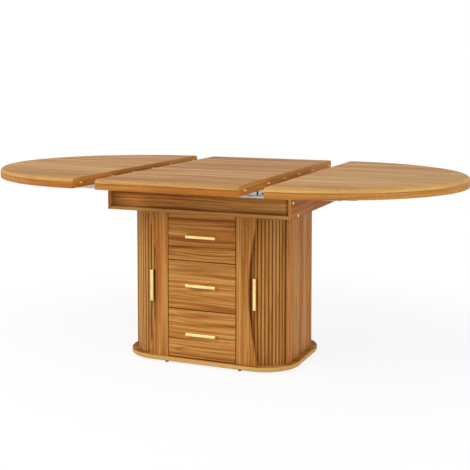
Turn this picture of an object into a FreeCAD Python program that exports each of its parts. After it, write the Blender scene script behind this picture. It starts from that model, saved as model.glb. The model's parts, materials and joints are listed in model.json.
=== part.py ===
import FreeCAD, Part
import math
import os

# Extending dining table: two half-elliptical end leaves and a lift-out centre leaf on steel slides,
# carried by an apron box that swivels on a cabinet with drawers and tambour corner cupboards.
# Millimetres. +X runs along the table, -Y is the drawer side, +Z is up, the floor is z = 0.

# Table top
table_height = 760.0
leaf_thickness = 38.0
centre_leaf_length = 570.0
leaf_depth = 1108.0
end_leaf_reach = 604.0
open_gap = 96.0
leaf_edge_round = 15.0
leaf_underside_round = 3.0

# Dowels between the leaves, in three mirrored pairs along each joint
dowel_radius = 3.0
dowel_seat_depth = 22.0
dowel_standout = 11.0
dowel_clearance = 0.5
dowel_inner_place = 87.0
dowel_middle_place = 265.0
dowel_end_inset = 52.0

# Apron box under the top
apron_overhang = 101.0
apron_depth = 566.0
apron_height = 74.0
apron_board = 12.0
apron_rail_recess = 18.0
bolt_head_radius = 5.8
bolt_head_height = 1.5
bolt_shank_radius = 3.0
bolt_rail_drop = 14.0
bolt_bottom_front = 203.0
bolt_bottom_back = 252.0

# Bearers and telescopic slides
bearer_width = 25.0
pad_radius = 10.0
pad_thickness = 2.0
pad_place = 220.0
slide_middle_gap = 4.0
slide_height = 35.0
slide_depth = 11.8
slide_web = 1.5
slide_race = 4.0
slide_clearance = 0.4
slide_hole_radius = 4.0
slide_hole_place = 78.0
slide_slot_place = 57.0
slide_slot_width = 7.0
slide_slot_height = 16.0
rail_length = 250.0
angle_thickness = 2.0
angle_flange = 30.0

# Swivel bearing between the apron and the cabinet
swivel_outer_radius = 150.0
swivel_inner_radius = 110.0
swivel_height = 6.0
swivel_clearance = 0.4
swivel_ball_radius = 2.0
swivel_ball_count = 16

# Cabinet
cabinet_width = 663.0
cabinet_depth = 466.0
back_corner_radius = 115.0
panel_thickness = 5.0
panel_lead_angle = 70.0
panel_top_clearance = 2.0
cabinet_top_thickness = 12.0
partition_thickness = 15.0
stile_thickness = 15.0
stile_lap = 6.0
stile_cutout_depth = 37.5
plinth_side_overhang = 29.0
plinth_front_overhang = 13.0
plinth_radius = 146.0
plinth_thickness = 18.0
plinth_edge_round = 4.0
foot_height = 10.0
foot_radius = 13.0
foot_taper = 2.0
foot_place_x = 157.0
foot_place_y = 222.0

# Drawers
drawer_count = 3
drawer_bank_width = 293.0
drawer_gap = 3.0
drawer_front_thickness = 18.0
drawer_top_clearance = 1.0
drawer_box_length = 400.0
drawer_box_headroom = 40.0
drawer_box_rise = 20.0
drawer_board = 12.0
drawer_bottom_thickness = 6.0
drawer_bottom_rise = 8.0
drawer_groove_depth = 5.0
runner_length = 380.0
runner_rise = 65.0
handle_length = 127.0
handle_height = 11.0
handle_standout = 16.0
handle_edge_round = 1.5

# Tambour curtains, turning in round grooves about the front corners
tambour_radius = 99.0
slat_count = 14
slat_pitch_angle = 8.5
slat_gap = 0.4
slat_thickness = 6.0
slat_crown = 2.5
tambour_lead_angle = -24.75
tambour_swing_angle = 68.0
tambour_panel_clearance = 1.0
groove_depth = 5.0
groove_clearance = 0.4
backing_thickness = 0.8
backing_end_clearance = 3.0
pull_slat = 2
pull_length = 124.0
pull_width = 12.0
pull_standout = 15.0
pull_seat = 1.5
pull_drop = 13.0

# Levels and faces that follow from the sizes above
leaf_low = table_height - leaf_thickness
dowel_level = leaf_low + leaf_thickness / 2
bearer_top = leaf_low - pad_thickness
apron_top = bearer_top - slide_height
apron_low = apron_top - apron_height
panel_top = apron_low - panel_top_clearance
cabinet_top = apron_low - swivel_height
cabinet_top_low = cabinet_top - cabinet_top_thickness
plinth_top = foot_height + plinth_thickness
leaf_edge = centre_leaf_length / 2 + open_gap
dowel_places = (dowel_inner_place, dowel_middle_place, leaf_depth / 2 - dowel_end_inset)
apron_end = centre_leaf_length / 2 + apron_overhang
apron_side = apron_depth / 2
slide_start = slide_middle_gap / 2
slide_length = apron_end - slide_start
slide_step = slide_race + slide_clearance
slide_levels = (apron_top, bearer_top)
middle_levels = (apron_top + slide_step, bearer_top - slide_step)
middle_depths = (slide_web + slide_clearance, slide_depth)
middle_offset = leaf_edge / 2
inner_levels = (middle_levels[0] + slide_step, middle_levels[1] - slide_step)
inner_depths = (middle_depths[0] + slide_web + slide_clearance, slide_depth + slide_clearance)
slot_level = (apron_top + bearer_top) / 2
swivel_ball_circle = (swivel_outer_radius + swivel_inner_radius) / 2
swivel_level = cabinet_top + swivel_height / 2
rail_face = apron_side - apron_rail_recess
bearer_face = apron_side - slide_depth
cabinet_side = cabinet_width / 2
cabinet_front = cabinet_depth / 2
curtain_room = tambour_radius + tambour_panel_clearance
panel_corner_radius = curtain_room + panel_thickness
corner_x = cabinet_side - panel_corner_radius
corner_y = cabinet_front - stile_thickness - curtain_room
back_corner_x = cabinet_side - back_corner_radius
back_corner_y = cabinet_front - back_corner_radius
back_inner_radius = back_corner_radius - panel_thickness
panel_inside = cabinet_front - panel_thickness
stile_inside = cabinet_front - stile_thickness
stile_edge = corner_x + stile_lap
bank_side = drawer_bank_width / 2
partition_face = bank_side + drawer_gap / 2
drawer_low = plinth_top + drawer_gap
drawer_height = (panel_top - drawer_low + drawer_gap) / drawer_count - drawer_gap
drawer_box_height = drawer_height - drawer_box_rise - drawer_box_headroom
drawer_side = bank_side - drawer_gap
drawer_back_of_front = drawer_front_thickness - cabinet_front
drawer_box_side = partition_face - slide_depth - slide_clearance
slat_root = tambour_radius - slat_thickness
slat_low = plinth_top - groove_depth + groove_clearance
slat_top = cabinet_top_low + groove_depth - groove_clearance
tambour_tail_angle = tambour_lead_angle + slat_count * slat_pitch_angle
pull_angle = tambour_lead_angle + (pull_slat + 0.5) * slat_pitch_angle
pull_level = (plinth_top + panel_top) / 2 - pull_drop

flat_tolerance = 1e-4
Vector = FreeCAD.Vector
ORIGIN = Vector(0, 0, 0)
UP = Vector(0, 0, 1)


def block(x_range, y_range, z_range):
    """Rectangular board between three pairs of limits."""
    size = [high - low for low, high in (x_range, y_range, z_range)]
    return Part.makeBox(*size, Vector(x_range[0], y_range[0], z_range[0]))


def rod(radius, length, start, direction):
    """Round bar from a start point along a direction."""
    return Part.makeCylinder(radius, length, start, direction)


def prism(edges, low, high):
    """Upright solid on a closed plan outline of edges drawn at z = 0."""
    face = Part.Face(Part.Wire(Part.__sortEdges__(edges)))
    solid = face.extrude(UP * (high - low))
    solid.translate(UP * low)
    return solid


def polyline(points):
    """Straight edges that join points in order, left open."""
    return [Part.makeLine(start, end) for start, end in zip(points, points[1:])]


def mirrored_x(shape):
    """Copy on the other end of the table."""
    return shape.mirror(ORIGIN, Vector(1, 0, 0))


def mirrored_y(shape):
    """Copy on the other long side of the table."""
    return shape.mirror(ORIGIN, Vector(0, 1, 0))


def edges_at(shape, level):
    """Edges of a shape that lie flat at one height."""
    return [edge for edge in shape.Edges
            if abs(edge.BoundBox.ZMin - level) < flat_tolerance
            and abs(edge.BoundBox.ZMax - level) < flat_tolerance]


def edges_facing_out(bar):
    """Edges of a bar's front face, which looks towards -Y."""
    return [edge for edge in bar.Edges if edge.BoundBox.YMax < bar.BoundBox.YMin + flat_tolerance]


def upright_edges(shape, towards_back):
    """Upright edges of a board, on its drawer side or on its back."""
    middle = shape.BoundBox.Center.y
    return [edge for edge in shape.Edges
            if edge.BoundBox.ZLength > flat_tolerance and (edge.BoundBox.YMin > middle) == towards_back]


def polar(angle, radius, level=0.0):
    """Point round the right front corner; 0 degrees faces the drawer side and 90 the table's end."""
    turn = math.radians(angle)
    return Vector(corner_x + radius * math.sin(turn), -corner_y - radius * math.cos(turn), level)


def corner_arc(radius, start, end):
    """Arc about the right front corner's centre."""
    middle = (start + end) / 2
    return Part.Arc(polar(start, radius), polar(middle, radius), polar(end, radius)).toShape()


def corner_sector(inner, outer, start, end, low, high):
    """Piece of a ring about the right front corner's centre."""
    edges = [corner_arc(inner, start, end), corner_arc(outer, start, end)]
    edges.append(Part.makeLine(polar(start, inner), polar(start, outer)))
    edges.append(Part.makeLine(polar(end, inner), polar(end, outer)))
    return prism(edges, low, high)


def rounded_plate(half_x, y_range, z_range, front_radius, back_radius):
    """Board with rounded corners, its front pair and its back pair with their own radius."""
    plate = block((-half_x, half_x), y_range, z_range)
    plate = plate.makeFillet(front_radius, upright_edges(plate, False))
    return plate.makeFillet(back_radius, upright_edges(plate, True))


def rim_edges(board, level):
    """Outer edges of a leaf at one height, without the straight joint edges along Y."""
    return [edge for edge in edges_at(board, level) if edge.BoundBox.XLength > flat_tolerance]


def eased_leaf(board):
    """Round the rim of a leaf and ease its underside; the joint edges stay square."""
    rounded = board.makeFillet(leaf_edge_round, rim_edges(board, table_height))
    return rounded.makeFillet(leaf_underside_round, rim_edges(rounded, leaf_low))


def dowel_rods(edge_x, radius, inside, outside):
    """Rods along one joint, from a depth inside the edge to a length beyond it, pointing to +X."""
    rods = []
    for place in dowel_places:
        for side in (-1, 1):
            start = Vector(edge_x - inside, side * place, dowel_level)
            rods.append(rod(radius, inside + outside, start, Vector(1, 0, 0)))
    return rods


def dowels(edge_x):
    """Dowels glued into an edge that faces +X."""
    return Part.makeCompound(dowel_rods(edge_x, dowel_radius, dowel_seat_depth, dowel_standout))


def dowel_holes(edge_x):
    """Clearance holes in an edge that faces -X."""
    depth = dowel_standout + dowel_clearance
    return dowel_rods(edge_x, dowel_radius + dowel_clearance, 0, depth)


def dowel_seats(edge_x):
    """Tight holes that hold the dowels of an edge that faces +X."""
    return dowel_rods(edge_x, dowel_radius, dowel_seat_depth, 0)


def half_ellipse():
    """Curved outline of the right end leaf, centred on its straight edge."""
    tip = Vector(end_leaf_reach, 0, 0)
    side = Vector(0, leaf_depth / 2, 0)
    if end_leaf_reach > leaf_depth / 2:
        return Part.Ellipse(tip, side, ORIGIN).toShape(-math.pi / 2, math.pi / 2)
    return Part.Ellipse(side, -tip, ORIGIN).toShape(-math.pi, 0)


def end_leaf():
    """Right end leaf before its holes are drilled."""
    corners = [Vector(0, -leaf_depth / 2, 0), Vector(0, leaf_depth / 2, 0)]
    board = prism([half_ellipse()] + polyline(corners), leaf_low, table_height)
    board.translate(Vector(leaf_edge, 0, 0))
    return eased_leaf(board)


def left_leaf():
    """Left end leaf, drilled for the dowels it carries."""
    return mirrored_x(end_leaf()).cut(dowel_seats(-leaf_edge))


def right_leaf():
    """Right end leaf, drilled to take the centre leaf's dowels."""
    return end_leaf().cut(dowel_holes(leaf_edge))


def centre_leaf():
    """Lift-out leaf with dowels in one edge and holes in the other."""
    half_length = centre_leaf_length / 2
    half_depth = leaf_depth / 2
    board = block((-half_length, half_length), (-half_depth, half_depth), (leaf_low, table_height))
    return eased_leaf(board).cut(dowel_seats(half_length) + dowel_holes(-half_length))


def apron_bottom():
    """Floor of the apron box, flush with its ends on both long sides."""
    reach = apron_end - apron_board
    return block((-reach, reach), (-apron_side, apron_side), (apron_low, apron_low + apron_board))


def apron_front():
    """Set-back board along the drawer side of the apron box."""
    reach = apron_end - apron_board
    thickness = (-rail_face, apron_board - rail_face)
    return block((-reach, reach), thickness, (apron_low + apron_board, apron_top))


def bolt_points():
    """Places of the bolts in the right apron end."""
    rail_middle = rail_face - apron_board / 2
    points = [(side * rail_middle, apron_top - bolt_rail_drop) for side in (-1, 1)]
    points += [(place, apron_low + apron_board / 2) for place in (-bolt_bottom_front, bolt_bottom_back)]
    return [Vector(apron_end, y, z) for y, z in points]


def apron_right_end():
    """Board across the end of the apron box, drilled for its bolts."""
    board = block((apron_end - apron_board, apron_end), (-apron_side, apron_side), (apron_low, apron_top))
    holes = [rod(bolt_shank_radius, apron_board, point, Vector(-1, 0, 0)) for point in bolt_points()]
    return board.cut(holes)


def apron_bolts():
    """Flat-headed bolts in both apron ends."""
    bolts = []
    for point in bolt_points():
        head = rod(bolt_head_radius, bolt_head_height, point, Vector(1, 0, 0))
        shank = rod(bolt_shank_radius, apron_board, point, Vector(-1, 0, 0))
        bolts.append(head.fuse(shank))
    return Part.makeCompound(bolts + [mirrored_x(bolt) for bolt in bolts])


def front_bearer():
    """Wooden bar on the apron that carries the centre leaf and the slides."""
    width = (-bearer_face, bearer_width - bearer_face)
    return block((-apron_end, apron_end), width, (apron_top, bearer_top))


def leaf_rest_pads():
    """Discs on the bearers that the centre leaf lies on."""
    middle = bearer_face - bearer_width / 2
    places = [Vector(x, y, bearer_top) for x in (-pad_place, pad_place) for y in (-middle, middle)]
    return Part.makeCompound([rod(pad_radius, pad_thickness, place, UP) for place in places])


def channel(length, depth_range, z_range, web_outside=False):
    """Steel channel along +X, with its web at the near or the far end of its depth along -Y."""
    near, far = depth_range
    low, high = z_range
    bar = block((0, length), (-far, -near), z_range)
    room = (slide_web - far, -near) if web_outside else (-far, -near - slide_web)
    return bar.cut(block((0, length), room, (low + slide_race, high - slide_race)))


def slide_openings(slot_x, hole_x):
    """Slot and round hole through the web of a slide member."""
    half_width, half_height = slide_slot_width / 2, slide_slot_height / 2
    slot = block((slot_x - half_width, slot_x + half_width), (-slide_depth, 0),
                 (slot_level - half_height, slot_level + half_height))
    hole = rod(slide_hole_radius, slide_depth, Vector(hole_x, 0, slot_level), Vector(0, -1, 0))
    return [slot, hole]


def both_slides(bar, start):
    """A slide member at the front bearer from a given x, with its copy at the back bearer."""
    bar.translate(Vector(start, -bearer_face, 0))
    return [bar, mirrored_y(bar)]


def slide_channels():
    """Outer members of the four slides, with openings that meet the middle members' when drawn out."""
    bar = channel(slide_length, (0, slide_depth), slide_levels)
    bar = bar.cut(slide_openings(middle_offset + slide_slot_place, middle_offset + slide_hole_place))
    right = both_slides(bar, slide_start)
    return Part.makeCompound(right + [mirrored_x(bar) for bar in right])


def right_slide_middles():
    """Middle members of the right slides, half-way out when the leaf is drawn out."""
    bar = channel(slide_length, middle_depths, middle_levels)
    near_end = slide_openings(slide_slot_place, slide_hole_place)
    far_end = slide_openings(slide_length - slide_slot_place, slide_length - slide_hole_place)
    return Part.makeCompound(both_slides(bar.cut(near_end + far_end), slide_start + middle_offset))


def right_leaf_rails():
    """Inner members of the right slides, carried out with the leaf."""
    bar = channel(rail_length, inner_depths, inner_levels, web_outside=True)
    return Part.makeCompound(both_slides(bar, slide_start + leaf_edge))


def right_leaf_angles():
    """Steel angles that fix the inner slide members under the right leaf."""
    near = inner_depths[1]
    upright = block((0, rail_length), (-near - angle_thickness, -near), (inner_levels[0], leaf_low))
    flange = block((0, rail_length), (-near - angle_flange, -near), (leaf_low - angle_thickness, leaf_low))
    angle = upright.fuse(flange).removeSplitter()
    return Part.makeCompound(both_slides(angle, slide_start + leaf_edge))


def swivel_ring(low, high):
    """Flat ring of the swivel bearing with its half of the ball groove."""
    height = high - low
    ring = rod(swivel_outer_radius, height, UP * low, UP).cut(rod(swivel_inner_radius, height, UP * low, UP))
    groove_radius = swivel_ball_radius + swivel_clearance / 2
    return ring.cut(Part.makeTorus(swivel_ball_circle, groove_radius, UP * swivel_level))


def swivel_balls():
    """Balls that run in the groove between the two rings."""
    balls = []
    for number in range(swivel_ball_count):
        turn = 2 * math.pi * number / swivel_ball_count
        place = Vector(math.cos(turn), math.sin(turn), 0) * swivel_ball_circle + UP * swivel_level
        balls.append(Part.makeSphere(swivel_ball_radius, place))
    return Part.makeCompound(balls)


def tambour_grooves(low, high):
    """Round grooves that guide both curtains from shut to open."""
    inner = slat_root - backing_thickness - groove_clearance
    outer = tambour_radius + groove_clearance
    start = tambour_lead_angle - slat_pitch_angle / 2
    end = tambour_tail_angle + tambour_swing_angle + slat_pitch_angle / 2
    groove = corner_sector(inner, outer, start, end, low, high)
    return [groove, mirrored_x(groove)]


def plinth():
    """Base board with rounded corners and edges, grooved for the curtains."""
    reach = cabinet_front + plinth_front_overhang
    board = rounded_plate(cabinet_side + plinth_side_overhang, (-reach, reach), (foot_height, plinth_top),
                          plinth_radius, plinth_radius)
    rims = edges_at(board, foot_height) + edges_at(board, plinth_top)
    rounded = board.makeFillet(plinth_edge_round, rims)
    return rounded.cut(tambour_grooves(plinth_top - groove_depth, plinth_top))


def feet():
    """Short tapered feet under the plinth."""
    foot = Part.makeCone(foot_radius - foot_taper, foot_radius, foot_height)
    places = [(x, y) for x in (-foot_place_x, foot_place_x) for y in (-foot_place_y, foot_place_y)]
    return Part.makeCompound([foot.translated(Vector(x, y, 0)) for x, y in places])


def cabinet_top_board():
    """Board inside the panels, full to the corner above each curtain and set back at the drawers."""
    levels = (cabinet_top_low, cabinet_top)
    board = rounded_plate(cabinet_side - panel_thickness, (-stile_inside, panel_inside), levels,
                          curtain_room, back_inner_radius)
    lip = corner_sector(tambour_radius, panel_corner_radius, 0, panel_lead_angle, *levels)
    whole = board.fuse([lip, mirrored_x(lip)]).removeSplitter()
    notch_depth = (-stile_inside, drawer_back_of_front + drawer_top_clearance)
    notch = block((-bank_side, bank_side), notch_depth, levels)
    stiles = [right_stile(), mirrored_x(right_stile())]
    return whole.cut(tambour_grooves(cabinet_top_low, cabinet_top_low + groove_depth) + [notch] + stiles)


def right_partition():
    """Upright board between the drawers and the right cupboard."""
    return block((partition_face, partition_face + partition_thickness), (-stile_inside, panel_inside),
                 (plinth_top, cabinet_top_low))


def right_stile():
    """Front panel beside the drawers, with a long hollow curve cut from its outer edge."""
    low, high = plinth_top, panel_top
    top = Vector(stile_edge, 0, high)
    bottom = Vector(stile_edge, 0, low)
    hollow = Vector(stile_edge - stile_cutout_depth, 0, (low + high) / 2)
    edges = [Part.Arc(top, hollow, bottom).toShape()]
    edges += polyline([bottom, Vector(bank_side, 0, low), Vector(bank_side, 0, high), top])
    panel = Part.Face(Part.Wire(Part.__sortEdges__(edges))).extrude(Vector(0, stile_thickness, 0))
    return panel.translated(Vector(0, -cabinet_front, 0))


def right_side_panel():
    """Bent panel along the cabinet's end, round its back corner and a little way over the curtain."""
    turn = math.sin(math.pi / 4)
    centre = Vector(back_corner_x, back_corner_y, 0)
    middle = centre + Vector(turn, turn, 0) * back_corner_radius
    inner_middle = centre + Vector(turn, turn, 0) * back_inner_radius
    front = Vector(cabinet_side, -corner_y, 0)
    side = Vector(cabinet_side, back_corner_y, 0)
    back = Vector(back_corner_x, cabinet_front, 0)
    inward = Vector(-panel_thickness, 0, 0)
    forward = Vector(0, -panel_thickness, 0)
    edges = [Part.Arc(side, middle, back).toShape(),
             Part.Arc(side + inward, inner_middle, back + forward).toShape()]
    edges += [corner_arc(radius, panel_lead_angle, 90) for radius in (curtain_room, panel_corner_radius)]
    edges += polyline([polar(panel_lead_angle, radius) for radius in (curtain_room, panel_corner_radius)])
    edges += polyline([side, front])
    edges += polyline([side + inward, front + inward])
    edges += polyline([back, back + forward])
    return prism(edges, plinth_top, panel_top)


def back_panel():
    """Flat panel across the back between the bent side panels."""
    return block((-back_corner_x, back_corner_x), (panel_inside, cabinet_front), (plinth_top, panel_top))


def drawer_floor(number):
    """Underside of a drawer's front, counted from the bottom."""
    return drawer_low + number * (drawer_height + drawer_gap)


def drawer_front(number):
    """Face board of a drawer."""
    low = drawer_floor(number)
    thickness = (-cabinet_front, drawer_back_of_front)
    return block((-drawer_side, drawer_side), thickness, (low, low + drawer_height))


def drawer_sides(number):
    """Two side boards of a drawer, grooved for its bottom."""
    low = drawer_floor(number) + drawer_box_rise
    length = (drawer_back_of_front, drawer_back_of_front + drawer_box_length)
    board = block((drawer_box_side - drawer_board, drawer_box_side), length, (low, low + drawer_box_height))
    side = board.cut(drawer_bottom(number))
    return Part.makeCompound([side, mirrored_x(side)])


def drawer_bottom(number):
    """Thin bottom held in the grooves of the side boards."""
    low = drawer_floor(number) + drawer_box_rise + drawer_bottom_rise
    reach = drawer_box_side - drawer_board + drawer_groove_depth
    length = (drawer_back_of_front, drawer_back_of_front + drawer_box_length)
    return block((-reach, reach), length, (low, low + drawer_bottom_thickness))


def drawer_back(number):
    """Back board that stands on the drawer's bottom between its sides."""
    low = drawer_floor(number) + drawer_box_rise
    end = drawer_back_of_front + drawer_box_length
    reach = drawer_box_side - drawer_board
    return block((-reach, reach), (end - drawer_board, end),
                 (low + drawer_bottom_rise + drawer_bottom_thickness, low + drawer_box_height))


def drawer_handle(number):
    """Level bar seated on the middle of a drawer's front."""
    level = drawer_floor(number) + drawer_height / 2
    bar = block((-handle_length / 2, handle_length / 2), (-cabinet_front - handle_standout, -cabinet_front),
                (level - handle_height / 2, level + handle_height / 2))
    return bar.makeFillet(handle_edge_round, edges_facing_out(bar))


def runner(levels, depths):
    """Channel along the right partition, open towards the drawer."""
    bar = channel(runner_length, depths, levels)
    bar.rotate(ORIGIN, UP, -90)
    return mirrored_y(bar).translated(Vector(partition_face, drawer_back_of_front, 0))


def runner_levels(number):
    """Height of a drawer's runner."""
    low = drawer_floor(number) + runner_rise
    return low, low + slide_height


def drawer_runners(number):
    """Moving members on both sides of a drawer."""
    low, high = runner_levels(number)
    depths = (slide_web + slide_clearance, slide_depth + slide_clearance)
    bar = runner((low + slide_step, high - slide_step), depths)
    return Part.makeCompound([bar, mirrored_x(bar)])


def drawer_runner_channels():
    """Fixed runner channels of all the drawers."""
    bars = [runner(runner_levels(number), (0, slide_depth)) for number in range(drawer_count)]
    return Part.makeCompound(bars + [mirrored_x(bar) for bar in bars])


def slat(number):
    """Upright slat with a crowned face."""
    middle = tambour_lead_angle + (number + 0.5) * slat_pitch_angle
    half = slat_pitch_angle / 2 - math.degrees(slat_gap / 2 / slat_root)
    start, end = middle - half, middle + half
    shoulder = tambour_radius - slat_crown
    face = Part.Arc(polar(start, shoulder), polar(middle, tambour_radius), polar(end, shoulder)).toShape()
    edges = [face, corner_arc(slat_root, start, end)]
    edges.append(Part.makeLine(polar(start, slat_root), polar(start, shoulder)))
    edges.append(Part.makeLine(polar(end, slat_root), polar(end, shoulder)))
    return prism(edges, slat_low, slat_top)


def tambour_slats():
    """All the slats of the right curtain, with a flat seat for the pull."""
    slats = [slat(number) for number in range(slat_count)]
    slats[pull_slat] = slats[pull_slat].cut(tambour_pull())
    return Part.makeCompound(slats)


def tambour_backing():
    """Cloth that the slats are glued to."""
    return corner_sector(slat_root - backing_thickness, slat_root, tambour_lead_angle, tambour_tail_angle,
                         plinth_top + backing_end_clearance, cabinet_top_low - backing_end_clearance)


def tambour_pull():
    """Upright bar seated on one slat of the right curtain."""
    reach = (-tambour_radius - pull_standout, pull_seat - tambour_radius)
    levels = (pull_level - pull_length / 2, pull_level + pull_length / 2)
    bar = block((-pull_width / 2, pull_width / 2), reach, levels)
    bar = bar.makeFillet(handle_edge_round, edges_facing_out(bar))
    bar.rotate(ORIGIN, UP, pull_angle)
    return bar.translated(Vector(corner_x, -corner_y, 0))


def all_parts():
    """Every piece of the table by name."""
    parts = {
        "centre_leaf": centre_leaf(),
        "centre_leaf_dowels": dowels(centre_leaf_length / 2),
        "left_leaf": left_leaf(),
        "left_leaf_dowels": dowels(-leaf_edge),
        "right_leaf": right_leaf(),
        "apron_bottom": apron_bottom(),
        "apron_front": apron_front(),
        "apron_back": mirrored_y(apron_front()),
        "apron_bolts": apron_bolts(),
        "front_bearer": front_bearer(),
        "back_bearer": mirrored_y(front_bearer()),
        "leaf_rest_pads": leaf_rest_pads(),
        "slide_channels": slide_channels(),
        "swivel_upper_ring": swivel_ring(swivel_level + swivel_clearance / 2, apron_low),
        "swivel_lower_ring": swivel_ring(cabinet_top, swivel_level - swivel_clearance / 2),
        "swivel_balls": swivel_balls(),
        "plinth": plinth(),
        "feet": feet(),
        "cabinet_top": cabinet_top_board(),
        "back_panel": back_panel(),
        "drawer_runner_channels": drawer_runner_channels(),
    }
    handed = {
        "leaf_rails": right_leaf_rails,
        "leaf_angles": right_leaf_angles,
        "slide_middles": right_slide_middles,
        "apron_end": apron_right_end,
        "partition": right_partition,
        "stile": right_stile,
        "side_panel": right_side_panel,
        "tambour_slats": tambour_slats,
        "tambour_backing": tambour_backing,
        "tambour_pull": tambour_pull,
    }
    for name, make in handed.items():
        parts["right_" + name] = make()
        parts["left_" + name] = mirrored_x(make())
    drawer_pieces = (drawer_front, drawer_sides, drawer_back, drawer_bottom, drawer_handle, drawer_runners)
    for number in range(drawer_count):
        for make in drawer_pieces:
            parts["%s_%d" % (make.__name__, number + 1)] = make(number)
    return parts


os.makedirs("parts", exist_ok=True)
for part_name, part_shape in all_parts().items():
    part_shape.exportStep(os.path.join("parts", part_name + ".step"))
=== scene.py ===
import json
import math

import bmesh
import bpy
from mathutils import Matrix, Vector


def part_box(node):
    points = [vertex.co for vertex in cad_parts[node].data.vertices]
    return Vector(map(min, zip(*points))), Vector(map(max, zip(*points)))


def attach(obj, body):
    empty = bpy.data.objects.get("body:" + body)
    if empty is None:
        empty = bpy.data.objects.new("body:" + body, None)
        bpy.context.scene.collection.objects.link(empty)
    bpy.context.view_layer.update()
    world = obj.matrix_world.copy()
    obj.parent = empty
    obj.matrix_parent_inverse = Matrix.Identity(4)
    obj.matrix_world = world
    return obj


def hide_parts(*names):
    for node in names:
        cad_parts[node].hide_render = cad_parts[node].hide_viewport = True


# Looks of an extending dining table: lacquered wood, pale brass, zinc plated slides and a white studio.
# Metres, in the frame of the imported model.

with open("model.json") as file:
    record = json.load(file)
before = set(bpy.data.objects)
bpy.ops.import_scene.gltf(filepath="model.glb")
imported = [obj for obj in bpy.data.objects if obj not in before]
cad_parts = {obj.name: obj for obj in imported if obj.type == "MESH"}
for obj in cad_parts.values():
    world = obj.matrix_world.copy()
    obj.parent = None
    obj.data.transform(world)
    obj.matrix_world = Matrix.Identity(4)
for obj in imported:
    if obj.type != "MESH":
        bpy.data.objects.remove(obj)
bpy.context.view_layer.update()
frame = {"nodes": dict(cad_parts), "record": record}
nodes = frame["nodes"]
joints = {joint["name"]: joint for joint in frame["record"]["behaviour"]["joints"]}


def tone(red, green, blue):
    """Linear colour of a display colour given in 0 to 255."""
    linear = []
    for part in (red, green, blue):
        share = part / 255
        linear.append(share / 12.92 if share <= 0.04045 else ((share + 0.055) / 1.055) ** 2.4)
    return (*linear, 1.0)


X_AXIS, Y_AXIS, Z_AXIS = 0, 1, 2
DRAWERS = (1, 2, 3)

# Camera, nearly level, with the picture moved down by the lens shift as in the photograph
IMAGE_SIZE = 470
CAMERA_PLACE = (1.53078, -3.58122, 1.14340)
CAMERA_PITCH = 0.0679
CAMERA_YAW = 0.3933
FOCAL_PIXELS = 953.84
CENTRE_ROW = 140
SENSOR_WIDTH = 36.0

# Studio, with a floor that turns white from a near to a far distance
FLOOR_SIZE = 60.0
FLOOR_COLOUR = (0.92, 0.92, 0.92, 1.0)
FLOOR_WHITE_SHARE = 0.88
FLOOR_WHITE_NEAR = 0.9
FLOOR_WHITE_FAR = 1.9
WORLD_LIGHT = 0.35
WHITE = (1.0, 1.0, 1.0, 1.0)

# Square lamps: name, place, the point that each one faces, length of a side and power
TOP_MIDDLE = (0.0, 0.0, 0.76)
CABINET_MIDDLE = (0.0, 0.0, 0.45)
LAMPS = (
    ("overhead", (0.0, -0.6, 4.6), TOP_MIDDLE, 4.0, 35.0),
    ("key", (-2.2, -4.4, 4.0), CABINET_MIDDLE, 3.0, 188.0),
    ("left_fill", (-4.8, -1.6, 1.8), CABINET_MIDDLE, 3.0, 85.0),
    ("right_fill", (4.8, -2.0, 1.8), CABINET_MIDDLE, 3.0, 120.0),
)

# Directions of the grain: flags for x, y and z on the faces and then on the edge strips, 1 where the
# streaks change fast
ALONG_X = ((0, 1, 1), (0, 0, 1))
ALONG_Y = ((1, 0, 1), (1, 0, 0))
ALONG_Z = ((1, 1, 0), (1, 0, 0))
FLAT_ALONG_X = ((0, 1, 0), (0, 0, 1))

# Layers of the grain: changes per metre along it and across it
WANDER = (1.6, 4.0)
BANDS = (0.7, 13.0)
STREAKS = (1.5, 55.0)
FIBRES = (9.0, 330.0)
STRIPES = (2.2, 150.0)
CASTS = (1.2, 18.0)
VEINS = (0.8, 22.0)
PORES = (55.0, 950.0)
PALE_STREAKS = (2.5, 60.0)
PALE_FIBRES = (14.0, 420.0)

# How the layers add up; edges are noise values between which a layer sets in
NOISE_MIDDLE = 0.5
NOISE_SPREAD = (0.3, 0.7)
WANDER_REACH = 0.03
BAND_SHARE = 0.40
FIBRE_SHARE = 0.15
PALE_FIBRE_SHARE = 0.35
STRIPE_EDGES = (0.42, 0.58)
STRIPE_DEPTH = 0.055
CAST_EDGES = (0.54, 0.72)
CAST_SHARE = 0.35
VEIN_WIDTH = 0.03
VEIN_SHARE = 0.4
PORE_EDGES = (0.66, 0.74)
PORE_SHARE = 0.35
PORE_DULLNESS = 0.15
FIBRE_HEIGHT = 0.5

# A seed moves on before each layer, and shifts the noise by a stride along each axis
SEED_STEP = 1.37
SEED_STRIDES = (7.13, 3.71, 5.37)

# How squarely a face looks along an axis where it starts to count as an end or as a flat face
END_FACING = (0.68, 0.72)
FLAT_FACING = (0.55, 0.75)

# Wood tones, from the dark to the light end of the grain
WOOD_STOPS = (
    (0.18, tone(116, 60, 20)),
    (0.34, tone(151, 90, 36)),
    (0.50, tone(177, 121, 58)),
    (0.66, tone(194, 144, 78)),
    (0.84, tone(210, 168, 106)),
)
# Dark tone of veins, pores and the seam; it is also the colour of painted shade in the corners of the
# set-back apron boards and along the face edges of the drawer fronts
VEIN_AND_SHADE_TONE = tone(102, 52, 19)
RED_CAST = tone(182, 98, 40)
# Painted sheen, a pale veil over the top faces of the leaves
TOP_SHEEN_TONE = tone(176, 144, 86)
# Painted highlight on the rounded rim of the leaves and on the upright edges of the flat boards
RIM_HIGHLIGHT_TONE = tone(206, 172, 104)
EDGE_TONE = tone(174, 114, 46)
JOINT_TONE = tone(196, 120, 34)
# Painted shade in the grooves between the slats
SLAT_GROOVE_SHADE_TONE = tone(70, 34, 11)

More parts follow.
